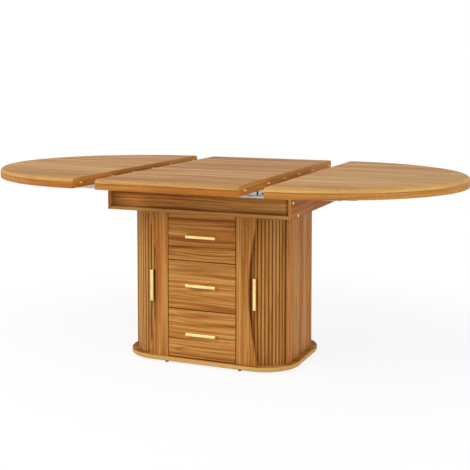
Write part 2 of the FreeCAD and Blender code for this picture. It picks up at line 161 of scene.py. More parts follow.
# Other finishes: light tone and dark tone, and for metals their least roughness
BOX_WOOD = (tone(226, 196, 150), tone(196, 160, 112))
DOWEL_WOOD = (tone(255, 212, 144), tone(246, 188, 114))
FOOT_PLASTIC = (tone(34, 33, 32), tone(22, 21, 21))
STOP_PLASTIC = (tone(38, 42, 40), tone(22, 25, 24))
PAD_FELT = (tone(120, 108, 98), tone(82, 74, 66))
BACKING_CANVAS = (tone(190, 172, 142), tone(140, 122, 98))
BRASS = (tone(254, 230, 166), tone(244, 214, 142), 0.24)
ZINC = (tone(206, 206, 207), tone(176, 176, 177), 0.28)
RING_ZINC = (tone(206, 206, 207), tone(176, 176, 177), 0.32)
NICKEL = (tone(255, 238, 214), tone(246, 224, 194), 0.22)
BALL_STEEL = (tone(214, 214, 216), tone(196, 196, 198), 0.1)
DARK_STEEL = (tone(84, 82, 80), tone(58, 56, 55), 0.3)

# Roughness, from the low to the high end of a noise where it varies
LACQUER_ROUGHNESS = (0.55, 0.43)
PALE_ROUGHNESS = (0.6, 0.48)
PLASTIC_ROUGHNESS = (0.62, 0.5)
FELT_ROUGHNESS = 0.95
CANVAS_ROUGHNESS = 0.9
BRUSH_ROUGHNESS = 0.16

# Reflection of the lacquer and soft sheen of the cloths
LACQUER_SHEEN = 0.07
FELT_SHEEN = 0.4
FELT_SHEEN_ROUGHNESS = 0.5
CANVAS_SHEEN = 0.2

# Relief: height of the bumps and their strength
WOOD_RELIEF = (0.00012, 0.6)
PALE_RELIEF = (0.0001, 0.5)
METAL_RELIEF = (0.00003, 0.35)
PLASTIC_RELIEF = (0.00008, 0.5)
FELT_RELIEF = (0.0006, 0.8)
CANVAS_RELIEF = (0.0003, 0.7)

# Textures of metal, plastic and cloth: changes per metre, along and across the brush lines for metal
BRUSH_LINES = (25.0, 2600.0)
METAL_CLOUDS = (40.0, 60.0)
PLASTIC_GRIT = 1800.0
PLASTIC_CLOUDS = 90.0
FELT_FUZZ = 900.0
CANVAS_SLUBS = 300.0
THREAD_PITCH = 0.0016
CLOTH_RADIUS = 0.085

# Contrast of the grain; the drawer fronts have finer streaks and weaker bands
CONTRAST = 1.6
LEAF_CONTRAST = 1.8
APRON_END_CONTRAST = 1.1
UPRIGHT_CONTRAST = 1.35
SLAT_CONTRAST = 0.7
FRONT_CONTRAST = 1.35
FRONT_FINENESS = 1.7
FRONT_BAND_SHARE = 0.2

# Boards: name, seed of the grain and how much lighter than usual
LEAVES = (("left_leaf", 143.0, 0.03), ("centre_leaf", 657.0, 0.0), ("right_leaf", 2898.0, 0.05))
BEARERS = (("front_bearer", 251.0), ("back_bearer", 271.0))
APRON_ENDS = (("left_apron_end", 311.0), ("right_apron_end", 439.0))
FRONTS = (
    ("drawer_front_1", 573.0, 0.02),
    ("drawer_front_2", 3451.0, 0.02),
    # The top drawer front is darker by painted shade under the overhang of the top
    ("drawer_front_3", 2185.0, -0.06),
)
UPRIGHT_BOARDS = (
    ("left_stile", 859.0, -0.02),
    ("right_stile", 831.0, -0.09),
    ("left_side_panel", 551.0, 0.0),
    ("right_side_panel", 999.0, 0.0),
    ("back_panel", 591.0, 0.0),
    ("left_partition", 611.0, 0.0),
    ("right_partition", 631.0, 0.0),
)
# Curtains are lifted by painted light and shade: the left one lighter and the right one darker, as light
# falls on the two sides
CURTAINS = (("left", 1635.0, 0.07), ("right", 731.0, -0.07))
APRON_END_LIFT = -0.05
# The set-back apron boards are darker by painted shade under the leaves
RECESS_SHADE_LIFT = -0.07

# Boards that lie flat: name, seed and how strong the painted highlight on the strip round the edges is
FLAT_BOARDS = (("apron_bottom", 111.0, 0.35), ("plinth", 1007.0, 0.62), ("cabinet_top", 151.0, 0.0))

# Set-back apron boards: name, seed and the end with the painted shade in its corner
RECESSED_BOARDS = (("apron_front", 367.0, 1.0), ("apron_back", 231.0, -1.0))
CORNER_SHADE_START = 0.018
CORNER_SHADE_FULL = 0.010
CORNER_SHADE = 0.7

# Drawer boxes: seeds for the first drawer, and the step from drawer to drawer
BOX_SIDE_SEED = 831.0
BOX_BACK_SEED = 911.0
BOX_SEED_STEP = 20.0

# Metal parts: name of the material, direction of its brush lines, finish, seed and nodes
METAL_PARTS = (
    ("brass_level", X_AXIS, BRASS, 101.0, ("drawer_handle_1", "drawer_handle_2", "drawer_handle_3")),
    ("brass_upright", Z_AXIS, BRASS, 103.0, ("left_tambour_pull", "right_tambour_pull")),
    ("zinc_long", X_AXIS, ZINC, 105.0,
     ("slide_channels", "left_slide_middles", "right_slide_middles", "left_leaf_rails",
      "right_leaf_rails", "left_leaf_angles", "right_leaf_angles")),
    ("zinc_deep", Y_AXIS, ZINC, 107.0,
     ("drawer_runner_channels", "drawer_runners_1", "drawer_runners_2", "drawer_runners_3")),
    ("zinc_ring", Z_AXIS, RING_ZINC, 109.0, ("swivel_upper_ring", "swivel_lower_ring")),
)

# Painted shade as a dark line round the face of a drawer front, along the gaps: where it fades out from
# the edge, and its strength
FRONT_LINE_REACH = (0.0004, 0.0013)
FRONT_LINE_SHADE = 0.6

# Table top edge: the rounded rim is a pale strip, a painted highlight, parted from the edge below by a
# fine seam; the top face carries a painted sheen
LEAF_BOTTOM, LEAF_TOP = (corner[2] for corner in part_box("centre_leaf"))
TOP_FACE_LEVELS = (LEAF_TOP - 0.0003, LEAF_TOP - 0.0002)
UNDERSIDE_LEVELS = (LEAF_BOTTOM + 0.0005, LEAF_BOTTOM + 0.0015)
SEAM_LEVEL = LEAF_TOP - 0.0155
SEAM_WIDTH = 0.0022
SEAM_SHADE = 0.6
TOP_SHEEN_SHARE = 0.2
EDGE_SHARE = 0.4
JOINT_REACH = (0.0002, 0.0006)
JOINT_SHARE = 0.45

# Tambour curtains
CORNER_X, CORNER_Y, _ = joints["right_tambour_turn"]["pos_m"]
TAMBOUR_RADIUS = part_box("right_tambour_slats")[1][0] - CORNER_X
SLAT_LEAD = math.radians(-24.75)
SLAT_PITCH = math.radians(8.5)
SLAT_CROWN = 0.0025
SLAT_TONE_SPREAD = 0.04
# The joints darken with painted shade in the grooves, from a depth down to the full crown
SLAT_JOINT_DEPTHS = (SLAT_CROWN * 0.1, SLAT_CROWN)
SLAT_JOINT_SHADE = 0.95

# Fasteners and slide fittings
BOLT_HEAD_HEIGHT = 0.0015
BOLT_TIP_LENGTH = 0.0006
BOLT_TIP_SHARE = 0.45
BOLT_SHANK_SHARE = 0.52
SOCKET_WIDTH = 0.004
SCREW_HEAD_RADIUS = 0.0045
SCREW_HEAD_HEIGHT = 0.0022
HANDLE_SCREW_PLACE = 0.048
ANGLE_THICKNESS = 0.002
ANGLE_SCREW_SHARES = (0.14, 0.5, 0.86)
FLUTE_COUNT = 12
FLUTE_DEPTH = 0.14
DOWEL_CHAMFER = 0.0014
DOWEL_END_SHARE = 0.7
SLIDE_WEB = 0.0015
STOP_PLACE = 0.2495
STOP_HALF_WIDTH = 0.0032
STOP_HALF_HEIGHT = 0.0077
SLIDE_SCREW_PLACE = 0.2705
SLIDE_SCREW_RADIUS = 0.0036
SLIDE_SCREW_HEIGHT = SLIDE_WEB * 0.9
FOOT_STEM_RADIUS = 0.007
BALL_RINGS = 14
BALL_POLE_SHARE = 0.02
CROSS_CORE_SHARE = 0.35
CROSS_POWER = 6
OBLONG_POWER = 6

# Outlines of turned fittings: shares of the height and of the radius
BOLT_HEAD = ((0.0, 1.0), (0.4, 1.0), (0.8, 0.92), (1.0, 0.76))
BOLT_SOCKET = ((1.0, 1.0), (0.1, 1.0))
SCREW_SHANK = ((-2.0, 0.3), (0.0, 0.4))
SCREW_HEAD = ((0.0, 1.0), (0.35, 1.0), (0.8, 0.86), (1.0, 0.62))
SCREW_RECESS = ((1.0, 0.5), (0.4, 0.4))
FOOT_STEM = ((0.0, 0.86), (0.08, 1.0), (0.62, 1.0))
FOOT_FLANGE = ((0.7, 0.92), (0.78, 1.0), (1.0, 1.0))
STOP_PAD = ((0.0, 1.0), (0.6, 1.0), (0.95, 0.8))

# Meshes
SIDES = 24
FLUTE_SIDES = 4 * FLUTE_COUNT
PAD_SIDES = 2 * SIDES
SHARP_ANGLE = math.radians(32)
MERGE_DISTANCE = 1e-6
FEWEST_CORNERS = 4


class Graph:
    """Node tree of one material, with short calls that return sockets."""

    def __init__(self, name):
        self.material = bpy.data.materials.new(name)
        self.material.use_nodes = True
        self.tree = self.material.node_tree
        self.tree.nodes.clear()
        self.coordinates = self.add("ShaderNodeTexCoord").outputs

    def add(self, kind, inputs=None, **settings):
        """New node with its settings, and then its inputs by name or number."""
        node = self.tree.nodes.new(kind)
        for key, value in settings.items():
            setattr(node, key, value)
        for key, value in (inputs or {}).items():
            self.feed(node.inputs[key], value)
        return node

    def feed(self, socket, value):
        """Link another socket to an input, or set a plain value on it."""
        if isinstance(value, bpy.types.NodeSocket):
            self.tree.links.new(value, socket)
        else:
            socket.default_value = value

    def math(self, operation, *values):
        """Result of an operation on numbers."""
        return self.add("ShaderNodeMath", dict(enumerate(values)), operation=operation).outputs[0]

    def vector_math(self, operation, *vectors):
        """Result of an operation on vectors."""
        return self.add("ShaderNodeVectorMath", dict(enumerate(vectors)), operation=operation).outputs[0]

    def hypotenuse(self, first, second):
        """Distance made up of two parts at right angles."""
        square = self.math("MULTIPLY_ADD", first, first, self.math("MULTIPLY", second, second))
        return self.math("SQRT", square)

    def mix(self, factor, first, second):
        """Colour between two colours."""
        inputs = {0: factor, 6: first, 7: second}
        return self.add("ShaderNodeMix", inputs, data_type="RGBA").outputs[2]

    def mix_vector(self, factor, first, second):
        """Vector between two vectors."""
        inputs = {0: factor, 4: first, 5: second}
        return self.add("ShaderNodeMix", inputs, data_type="VECTOR").outputs[1]

    def step(self, value, low, high, first=0.0, second=1.0):
        """Smooth change from first to second while a value goes from low to high."""
        inputs = {0: value, 1: low, 2: high, 3: first, 4: second}
        return self.add("ShaderNodeMapRange", inputs, interpolation_type="SMOOTHSTEP").outputs[0]

    def noise_outputs(self, vector, scale=1.0, detail=2.0, roughness=0.5, distortion=0.0):
        """Noise as a number and as a vector."""
        inputs = {"Vector": vector, "Scale": scale, "Detail": detail, "Roughness": roughness,
                  "Distortion": distortion}
        return self.add("ShaderNodeTexNoise", inputs).outputs

    def noise(self, vector, **settings):
        """Noise as a number."""
        return self.noise_outputs(vector, **settings)[0]

    def ramp(self, value, stops):
        """Colour for a value, from pairs of a place and a colour."""
        node = self.add("ShaderNodeValToRGB", {0: value})
        elements = node.color_ramp.elements
        while len(elements) < len(stops):
            elements.new(0.5)
        for element, (place, colour) in zip(elements, stops):
            element.position = place
            element.color = colour
        return node.outputs[0]

    def place(self):
        """Object coordinates, which stay with a piece as its body moves."""
        return self.coordinates["Object"]

    def facing(self, axis):
        """How squarely a face looks along an axis of its piece, from 0 to 1."""
        return self.math("ABSOLUTE", self.parts(self.coordinates["Normal"])[axis])

    def ends(self, axis):
        """1 on the faces at both ends of an axis, and 0 on the others."""
        return self.step(self.facing(axis), *END_FACING)

    def parts(self, vector):
        """The three numbers of a vector."""
        return self.add("ShaderNodeSeparateXYZ", {0: vector}).outputs

    def bump(self, height, distance, strength):
        """Normal for a relief."""
        inputs = {"Height": height, "Distance": distance, "Strength": strength}
        return self.add("ShaderNodeBump", inputs).outputs[0]

    def surface(self, **inputs):
        """Principled surface; keys are input names with spaces as underscores."""
        named = {key.replace("_", " "): value for key, value in inputs.items()}
        shader = self.add("ShaderNodeBsdfPrincipled", named)
        self.add("ShaderNodeOutputMaterial", {0: shader.outputs[0]})
        return self.material


def seed_shift(seed):
    """Place in the noise that belongs to a seed."""
    return tuple(seed * stride for stride in SEED_STRIDES)


class Grain:
    """Streaks of one board: slow along the grain and fast across it, with another run on edge strips."""

    def __init__(self, graph, face, strip, on_strip, seed):
        self.graph = graph
        self.runs = (face, strip)
        self.on_strip = on_strip
        self.seed = seed
        wave = graph.noise_outputs(self.spread(graph.place(), *WANDER), detail=1.0)[1]
        sway = graph.vector_math("SUBTRACT", wave, (NOISE_MIDDLE,) * 3)
        self.place = graph.vector_math("MULTIPLY_ADD", sway, (WANDER_REACH,) * 3, graph.place())

    def spread(self, place, slow, fast):
        """Coordinates stretched along the grain, new for each call."""
        self.seed += SEED_STEP
        scaled = []
        for run in self.runs:
            scales = tuple(fast if flag else slow for flag in run)
            scaled.append(self.graph.vector_math("MULTIPLY", place, scales))
        mixed = self.graph.mix_vector(self.on_strip, *scaled)
        return self.graph.vector_math("ADD", mixed, seed_shift(self.seed))

    def layer(self, slow, fast, **settings):
        """One layer of streaks, with its changes per metre along and across the grain."""
        return self.graph.noise(self.spread(self.place, slow, fast), **settings)


def wood_colour(graph, grain, lift=0.0, contrast=CONTRAST, fineness=1.0, band_share=BAND_SHARE):
    """Golden brown wood: bands, streaks, stripes, fibres, dark veins and a reddish cast in places."""
    band = grain.layer(BANDS[0], BANDS[1] * fineness, detail=2.0)
    streak = grain.layer(STREAKS[0] / fineness, STREAKS[1] * fineness, detail=3.0, roughness=0.6)
    fibre = grain.layer(*FIBRES, detail=2.0)
    stripe = grain.layer(STRIPES[0] / fineness, STRIPES[1], detail=1.0)
    cast = grain.layer(*CASTS, detail=1.0)
    line = grain.layer(*VEINS, detail=1.0)

    mixed = graph.math("MULTIPLY", streak, 1 - FIBRE_SHARE - band_share)
    mixed = graph.math("MULTIPLY_ADD", band, band_share, mixed)
    mixed = graph.math("MULTIPLY_ADD", fibre, FIBRE_SHARE, mixed)
    mixed = graph.math("ADD", mixed, graph.step(stripe, *STRIPE_EDGES, -STRIPE_DEPTH, STRIPE_DEPTH))
    centred = graph.math("SUBTRACT", mixed, NOISE_MIDDLE)
    spread = graph.math("ADD", graph.math("MULTIPLY_ADD", centred, contrast, NOISE_MIDDLE), lift)
    colour = graph.ramp(spread, WOOD_STOPS)
    colour = graph.mix(graph.step(cast, *CAST_EDGES, 0.0, CAST_SHARE), colour, RED_CAST)
    ridge = graph.math("ABSOLUTE", graph.math("SUBTRACT", line, NOISE_MIDDLE))
    colour = graph.mix(graph.step(ridge, 0.0, VEIN_WIDTH, VEIN_SHARE, 0.0), colour, VEIN_AND_SHADE_TONE)
    return colour, streak, fibre


def finish_wood(graph, grain, colour, streak, fibre):
    """Satin lacquer over a wood colour, with pores in colour, gloss and relief."""
    pores = graph.step(grain.layer(*PORES, detail=0.0), *PORE_EDGES)
    colour = graph.mix(graph.math("MULTIPLY", pores, PORE_SHARE), colour, VEIN_AND_SHADE_TONE)
    gloss = graph.step(streak, *NOISE_SPREAD, *LACQUER_ROUGHNESS)
    gloss = graph.math("MULTIPLY_ADD", pores, PORE_DULLNESS, gloss)
    relief = graph.math("SUBTRACT", graph.math("MULTIPLY", fibre, FIBRE_HEIGHT), pores)
    return graph.surface(Base_Color=colour, Roughness=gloss, Normal=graph.bump(relief, *WOOD_RELIEF),
                         Specular_IOR_Level=LACQUER_SHEEN)


def board_wood(name, run, end_axis, seed, lift=0.0, contrast=CONTRAST):
    """Wood of a board whose grain runs along one axis; its ends carry a strip."""
    graph = Graph(name)
    grain = Grain(graph, *run, graph.ends(end_axis), seed)
    return finish_wood(graph, grain, *wood_colour(graph, grain, lift, contrast))


def flat_wood(name, seed, edge_highlight_share):
    """Wood of a board that lies flat: a paler strip of painted highlight runs all round its upright
    edges.
    """
    graph = Graph(name)
    on_edge = graph.step(graph.facing(Z_AXIS), *FLAT_FACING, 1.0, 0.0)
    grain = Grain(graph, *FLAT_ALONG_X, on_edge, seed)
    colour, streak, fibre = wood_colour(graph, grain)
    # Painted highlight on the upright edges
    colour = graph.mix(graph.math("MULTIPLY", on_edge, edge_highlight_share), colour, RIM_HIGHLIGHT_TONE)
    return finish_wood(graph, grain, colour, streak, fibre)


def recessed_wood(name, seed, half_length, side):
    """Wood of a set-back apron board, with painted shade in one corner where it meets the end board."""
    graph = Graph(name)
    grain = Grain(graph, *ALONG_X, graph.ends(X_AXIS), seed)
    colour, streak, fibre = wood_colour(graph, grain, RECESS_SHADE_LIFT)
    # Painted shade in the corner by the end board
    from_middle = graph.math("MULTIPLY", graph.parts(graph.place())[X_AXIS], side)
    corner = graph.step(from_middle, half_length - CORNER_SHADE_START, half_length - CORNER_SHADE_FULL,
                        0.0, CORNER_SHADE)
    return finish_wood(graph, grain, graph.mix(corner, colour, VEIN_AND_SHADE_TONE), streak, fibre)


def front_wood(name, seed, lift, low, high):
    """Wood of a drawer front, with painted shade as a dark line round the edges of its face."""
    graph = Graph(name)
    grain = Grain(graph, *ALONG_X, graph.ends(X_AXIS), seed)
    colour, streak, fibre = wood_colour(graph, grain, lift, FRONT_CONTRAST, FRONT_FINENESS,
                                        FRONT_BAND_SHARE)
    x, _, z = graph.parts(graph.place())
    from_side = graph.math("SUBTRACT", high[0], graph.math("ABSOLUTE", x))
    from_bottom = graph.math("SUBTRACT", z, low[2])
    from_top = graph.math("SUBTRACT", high[2], z)
    from_edge = graph.math("MINIMUM", from_side, graph.math("MINIMUM", from_bottom, from_top))
    # Painted shade along the edges of the face, next to the gaps
    line = graph.step(from_edge, *FRONT_LINE_REACH, FRONT_LINE_SHADE, 0.0)
    return finish_wood(graph, grain, graph.mix(line, colour, VEIN_AND_SHADE_TONE), streak, fibre)


def leaf_wood(name, seed, lift, joint_place):
    """Wood of a table leaf: veneer on its faces with a painted sheen on the top face, a pale rounded rim
    that is a painted highlight, a seam, a strip on the edge and a darker joint face at a distance from
    the middle of the table."""
    graph = Graph(name)
    place = graph.parts(graph.place())
    level = place[Z_AXIS]
    on_top = graph.step(level, *TOP_FACE_LEVELS)
    on_underside = graph.step(level, *UNDERSIDE_LEVELS, 1.0, 0.0)
    on_edge = graph.math("SUBTRACT", graph.math("SUBTRACT", 1.0, on_top), on_underside)
    on_rim = graph.step(level, SEAM_LEVEL, SEAM_LEVEL + SEAM_WIDTH)
    grain = Grain(graph, *FLAT_ALONG_X, on_edge, seed)
    colour, streak, fibre = wood_colour(graph, grain, lift, LEAF_CONTRAST)
    # Painted sheen on the top face
    colour = graph.mix(graph.math("MULTIPLY", on_top, TOP_SHEEN_SHARE), colour, TOP_SHEEN_TONE)
    # Painted highlight on the rounded rim above the seam
    strip = graph.mix(on_rim, EDGE_TONE, RIM_HIGHLIGHT_TONE)
    colour = graph.mix(graph.math("MULTIPLY", on_edge, EDGE_SHARE), colour, strip)
    from_seam = graph.math("ABSOLUTE", graph.math("SUBTRACT", level, SEAM_LEVEL))
    colour = graph.mix(graph.step(from_seam, 0.0, SEAM_WIDTH, SEAM_SHADE, 0.0), colour, VEIN_AND_SHADE_TONE)
    from_joint = graph.math("SUBTRACT", graph.math("ABSOLUTE", place[X_AXIS]), joint_place)
    on_joint = graph.step(graph.math("ABSOLUTE", from_joint), *JOINT_REACH, JOINT_SHARE, 0.0)
    colour = graph.mix(graph.math("MULTIPLY", on_joint, on_edge), colour, JOINT_TONE)
    return finish_wood(graph, grain, colour, streak, fibre)


def from_corner(graph):
    """Distances of a point outward and forward from the line that its curtain turns about."""
    x, y, _ = graph.parts(graph.place())
    outward = graph.math("SUBTRACT", graph.math("ABSOLUTE", x), CORNER_X)
    return outward, graph.math("SUBTRACT", CORNER_Y, y)


def slat_wood(name, seed, side_light_lift):
    """Upright wood that changes its tone from slat to slat, darkens in the joints with painted shade in
    the grooves, and carries the painted light and shade of its side of the cabinet.
    """
    graph = Graph(name)
    outward, forward = from_corner(graph)
    turn = graph.math("SUBTRACT", graph.math("ARCTAN2", outward, forward), SLAT_LEAD)
    number = graph.math("FLOOR", graph.math("DIVIDE", turn, SLAT_PITCH))
    slat = graph.math("ADD", number, seed)
    draw = graph.add("ShaderNodeTexWhiteNoise", {"W": slat}, noise_dimensions="1D").outputs[0]
    # The curtain's painted light and shade, plus a random tone for each slat
    lift = graph.math("MULTIPLY_ADD", draw, SLAT_TONE_SPREAD, side_light_lift)
    grain = Grain(graph, *ALONG_Z, graph.ends(Z_AXIS), seed)
    colour, streak, fibre = wood_colour(graph, grain, lift, SLAT_CONTRAST)
    # Painted shade in the grooves between the slats
    depth = graph.math("SUBTRACT", TAMBOUR_RADIUS, graph.hypotenuse(outward, forward))
    joint = graph.step(depth, *SLAT_JOINT_DEPTHS, 0.0, SLAT_JOINT_SHADE)
    colour = graph.mix(joint, colour, SLAT_GROOVE_SHADE_TONE)
    return finish_wood(graph, grain, colour, streak, fibre)


def pale_wood(name, run, end_axis, tones, seed):
    """Plain pale board for drawer boxes and dowels."""
    light, dark = tones
    graph = Graph(name)
    grain = Grain(graph, *run, graph.ends(end_axis), seed)
    streak = grain.layer(*PALE_STREAKS, detail=3.0)
    fibre = grain.layer(*PALE_FIBRES, detail=2.0)
    mixed = graph.math("MULTIPLY", fibre, PALE_FIBRE_SHARE)
    mixed = graph.math("MULTIPLY_ADD", streak, 1 - PALE_FIBRE_SHARE, mixed)
    colour = graph.ramp(mixed, tuple(zip(NOISE_SPREAD, (dark, light))))
    gloss = graph.step(fibre, *NOISE_SPREAD, *PALE_ROUGHNESS)
    return graph.surface(Base_Color=colour, Roughness=gloss, Normal=graph.bump(fibre, *PALE_RELIEF))


def stretched(graph, along, slow, fast, seed):
    """Coordinates that vary slowly along one axis and fast across it."""
    scales = tuple(slow if axis == along else fast for axis in range(3))
    scaled = graph.vector_math("MULTIPLY", graph.place(), scales)
    return graph.vector_math("ADD", scaled, seed_shift(seed))


def brushed_metal(name, along, finish, seed):
    """Metal with fine brush lines along one axis and faint clouding."""
    light, dark, roughness = finish
    graph = Graph(name)
    lines = graph.noise(stretched(graph, along, *BRUSH_LINES, seed), detail=2.0)
    cloud = graph.noise(stretched(graph, along, *METAL_CLOUDS, seed + 1), detail=2.0)
    colour = graph.mix(graph.step(cloud, *NOISE_SPREAD), light, dark)
    gloss = graph.math("MULTIPLY_ADD", lines, BRUSH_ROUGHNESS, roughness)
    return graph.surface(Base_Color=colour, Metallic=1.0, Roughness=gloss,
                         Normal=graph.bump(lines, *METAL_RELIEF))


def moulded_plastic(name, tones, seed):
    """Matt moulded plastic with a fine texture."""
    graph = Graph(name)
    grit = graph.noise(graph.place(), scale=PLASTIC_GRIT + seed, detail=2.0)
    cloud = graph.noise(graph.place(), scale=PLASTIC_CLOUDS, detail=2.0)
    colour = graph.mix(cloud, *tones)
    gloss = graph.step(grit, *NOISE_SPREAD, *PLASTIC_ROUGHNESS)
    return graph.surface(Base_Color=colour, Roughness=gloss, Normal=graph.bump(grit, *PLASTIC_RELIEF))


def felt(name, tones):
    """Pressed felt with a fuzzy relief."""
    light, dark = tones
    graph = Graph(name)
    fuzz = graph.noise(graph.place(), scale=FELT_FUZZ, detail=4.0, roughness=0.7, distortion=1.5)
    return graph.surface(Base_Color=graph.mix(fuzz, dark, light), Roughness=FELT_ROUGHNESS,
                         Sheen_Weight=FELT_SHEEN, Sheen_Roughness=FELT_SHEEN_ROUGHNESS,
                         Normal=graph.bump(fuzz, *FELT_RELIEF))


def canvas(name, tones):
    """Plain woven cloth: upright and level threads that pass over each other."""
    light, dark = tones
    graph = Graph(name)
    level = graph.parts(graph.place())[Z_AXIS]
    level_thread = graph.math("SINE", graph.math("MULTIPLY", level, 2 * math.pi / THREAD_PITCH))
    threads_per_turn = 2 * math.pi * CLOTH_RADIUS / THREAD_PITCH
    turn = graph.math("ARCTAN2", *from_corner(graph))
    upright_thread = graph.math("SINE", graph.math("MULTIPLY", turn, threads_per_turn))
    weave = graph.math("MULTIPLY_ADD", graph.math("MULTIPLY", level_thread, upright_thread), 0.5, 0.5)
    slub = graph.noise(graph.place(), scale=CANVAS_SLUBS, detail=3.0)
    mixed = graph.math("MULTIPLY_ADD", weave, 0.5, graph.math("MULTIPLY", slub, 0.5))
    return graph.surface(Base_Color=graph.mix(mixed, dark, light), Roughness=CANVAS_ROUGHNESS,
                         Sheen_Weight=CANVAS_SHEEN, Normal=graph.bump(weave, *CANVAS_RELIEF))


def paint(material, *names):
    """Give CAD nodes a material in all their slots."""
    for name in names:
        piece = nodes[name]
        if not piece.material_slots:
            piece.data.materials.append(material)
        for slot in piece.material_slots:
            slot.material = material


def paint_leaves_and_apron():
    """Leaves, the boards of the apron and the flat boards of the cabinet."""
    for leaf, seed, lift in LEAVES:
        joint_place = min(abs(corner[0]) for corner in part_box(leaf))
        paint(leaf_wood("wood_" + leaf, seed, lift, joint_place), leaf)
    for board, seed, edge_highlight_share in FLAT_BOARDS:
        paint(flat_wood("wood_" + board, seed, edge_highlight_share), board)
    for board, seed, side in RECESSED_BOARDS:
        paint(recessed_wood("wood_" + board, seed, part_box(board)[1][0], side), board)
    for board, seed in BEARERS:
        paint(board_wood("wood_" + board, ALONG_X, X_AXIS, seed), board)
    for board, seed in APRON_ENDS:
        wood = board_wood("wood_" + board, ALONG_Y, Y_AXIS, seed, APRON_END_LIFT, APRON_END_CONTRAST)
        paint(wood, board)


def paint_cabinet():
    """Drawer fronts, upright boards and curtain slats."""
    for front, seed, lift in FRONTS:
        paint(front_wood("wood_" + front, seed, lift, *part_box(front)), front)
    for board, seed, lift in UPRIGHT_BOARDS:
        paint(board_wood("wood_" + board, ALONG_Z, Z_AXIS, seed, lift, UPRIGHT_CONTRAST), board)
    for side, seed, lift in CURTAINS:
        paint(slat_wood("wood_%s_slats" % side, seed, lift), side + "_tambour_slats")


def paint_drawer_boxes():
    """Pale inner boards of the drawers."""
    for number in DRAWERS:
        seed_steps = (number - 1) * BOX_SEED_STEP
        sides = pale_wood("box_sides_%d" % number, ALONG_Y, Y_AXIS, BOX_WOOD, BOX_SIDE_SEED + seed_steps)
        paint(sides, "drawer_sides_%d" % number, "drawer_bottom_%d" % number)
        back = pale_wood("box_back_%d" % number, ALONG_X, X_AXIS, BOX_WOOD, BOX_BACK_SEED + seed_steps)
        paint(back, "drawer_back_%d" % number)


def paint_metals():
    """Brushed brass on the handles and pulls, and zinc plating on the slides and rings."""
    for name, along, finish, seed, parts in METAL_PARTS:
        paint(brushed_metal(name, along, finish, seed), *parts)


def paint_cloths():
    """Felt pads and the cloth behind the curtains."""
    paint(felt("pad_felt", PAD_FELT), "leaf_rest_pads")
    paint(canvas("backing_canvas", BACKING_CANVAS), "left_tambour_backing", "right_tambour_backing")


def solids(name):
    """Lowest and highest corner of each separate solid of a CAD node; a loose sliver isn't one."""
    work = bmesh.new()
    work.from_mesh(nodes[name].data)
    bmesh.ops.remove_doubles(work, verts=work.verts, dist=MERGE_DISTANCE)
    boxes = []
    for start in work.verts:
        if start.tag:
            continue
        start.tag = True
        island = [start]
        for vertex in island:
            for edge in vertex.link_edges:
                other = edge.other_vert(vertex)
                if not other.tag:
                    other.tag = True
                    island.append(other)
        if len(island) >= FEWEST_CORNERS:
            boxes.append([Vector([pick(vertex.co[axis] for vertex in island) for axis in range(3)])
                          for pick in (min, max)])
    work.free()
    return boxes


def plain(angle):
    """Section of a round form."""
    return 1.0


def hexagon(angle):
    """Section of a hexagon, 1 from its middle to each flat."""
    return 1 / math.cos((angle + math.pi / 6) % (math.pi / 3) - math.pi / 6)


def cross(angle):
    """Section of a cross-shaped recess."""
    return CROSS_CORE_SHARE + (1 - CROSS_CORE_SHARE) * math.cos(2 * angle) ** CROSS_POWER


def fluted(angle):
    """Section of a grooved dowel."""
    return 1 - FLUTE_DEPTH * (0.5 + 0.5 * math.cos(FLUTE_COUNT * angle))


def oblong(half_width, half_height):
    """Section of an upright pad with round corners."""
    def section(angle):
        across, up = abs(math.cos(angle)) / half_width, abs(math.sin(angle)) / half_height
        return (across ** OBLONG_POWER + up ** OBLONG_POWER) ** (-1 / OBLONG_POWER)
    return section


def rings(outline, height, radius, section=plain):
    """Rings of a turned form: distance along its axis, radius and section."""
    return [(up * height, out * radius, section) for up, out in outline]


def turned(points, faces, place, way, profile, sides=SIDES):
    """Add one form to a mesh, from rings along its axis."""
    turn = Vector((1, 0, 0)).rotation_difference(Vector(way))
    first = len(points)
    for along, radius, section in profile:
        for number in range(sides):
            angle = 2 * math.pi * number / sides
            reach = radius * section(angle)
            spot = Vector((along, reach * math.cos(angle), reach * math.sin(angle)))
            points.append(Vector(place) + turn @ spot)
    last = len(points) - sides
    for here in range(first, last):
        beside = here + 1 if (here + 1 - first) % sides else here + 1 - sides
        faces.append((here, beside, beside + sides, here + sides))
    faces.append(tuple(reversed(range(first, first + sides))))
    faces.append(tuple(range(last, last + sides)))


def add_piece(name, points, faces, material, body, slot):
    """Mesh piece that moves with a body."""
    mesh = bpy.data.meshes.new(name)
    mesh.from_pydata(points, [], faces)
    mesh.materials.append(material)
    mesh.shade_smooth()
    mesh.set_sharp_from_angle(angle=SHARP_ANGLE)
    piece = bpy.data.objects.new(name, mesh)
    bpy.context.scene.collection.objects.link(piece)
    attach(piece, body)
    return piece


def add_bolts():
    """Socket-head bolts in the apron ends."""
    points, faces = [], []
    for low, high in solids("apron_bolts"):
        side = 1 if high.x > 0 else -1
        middle = (low + high) / 2
        radius = (high.z - low.z) / 2
        shank = radius * BOLT_SHANK_SHARE
        length = high.x - low.x - BOLT_HEAD_HEIGHT
        seat = max(abs(low.x), abs(high.x)) - BOLT_HEAD_HEIGHT
        profile = [(-length, radius * BOLT_TIP_SHARE, plain), (-length + BOLT_TIP_LENGTH, shank, plain),
                   (0.0, shank, plain)]
        profile += rings(BOLT_HEAD, BOLT_HEAD_HEIGHT, radius)
        profile += rings(BOLT_SOCKET, BOLT_HEAD_HEIGHT, SOCKET_WIDTH / 2, hexagon)
        turned(points, faces, (side * seat, middle.y, middle.z), (side, 0, 0), profile)
    nickel = brushed_metal("bolt_nickel", X_AXIS, NICKEL, seed=111.0)
    bolts = add_piece("socket_bolts", points, faces, nickel, "top_frame", "slide_steel")
    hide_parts("apron_bolts")


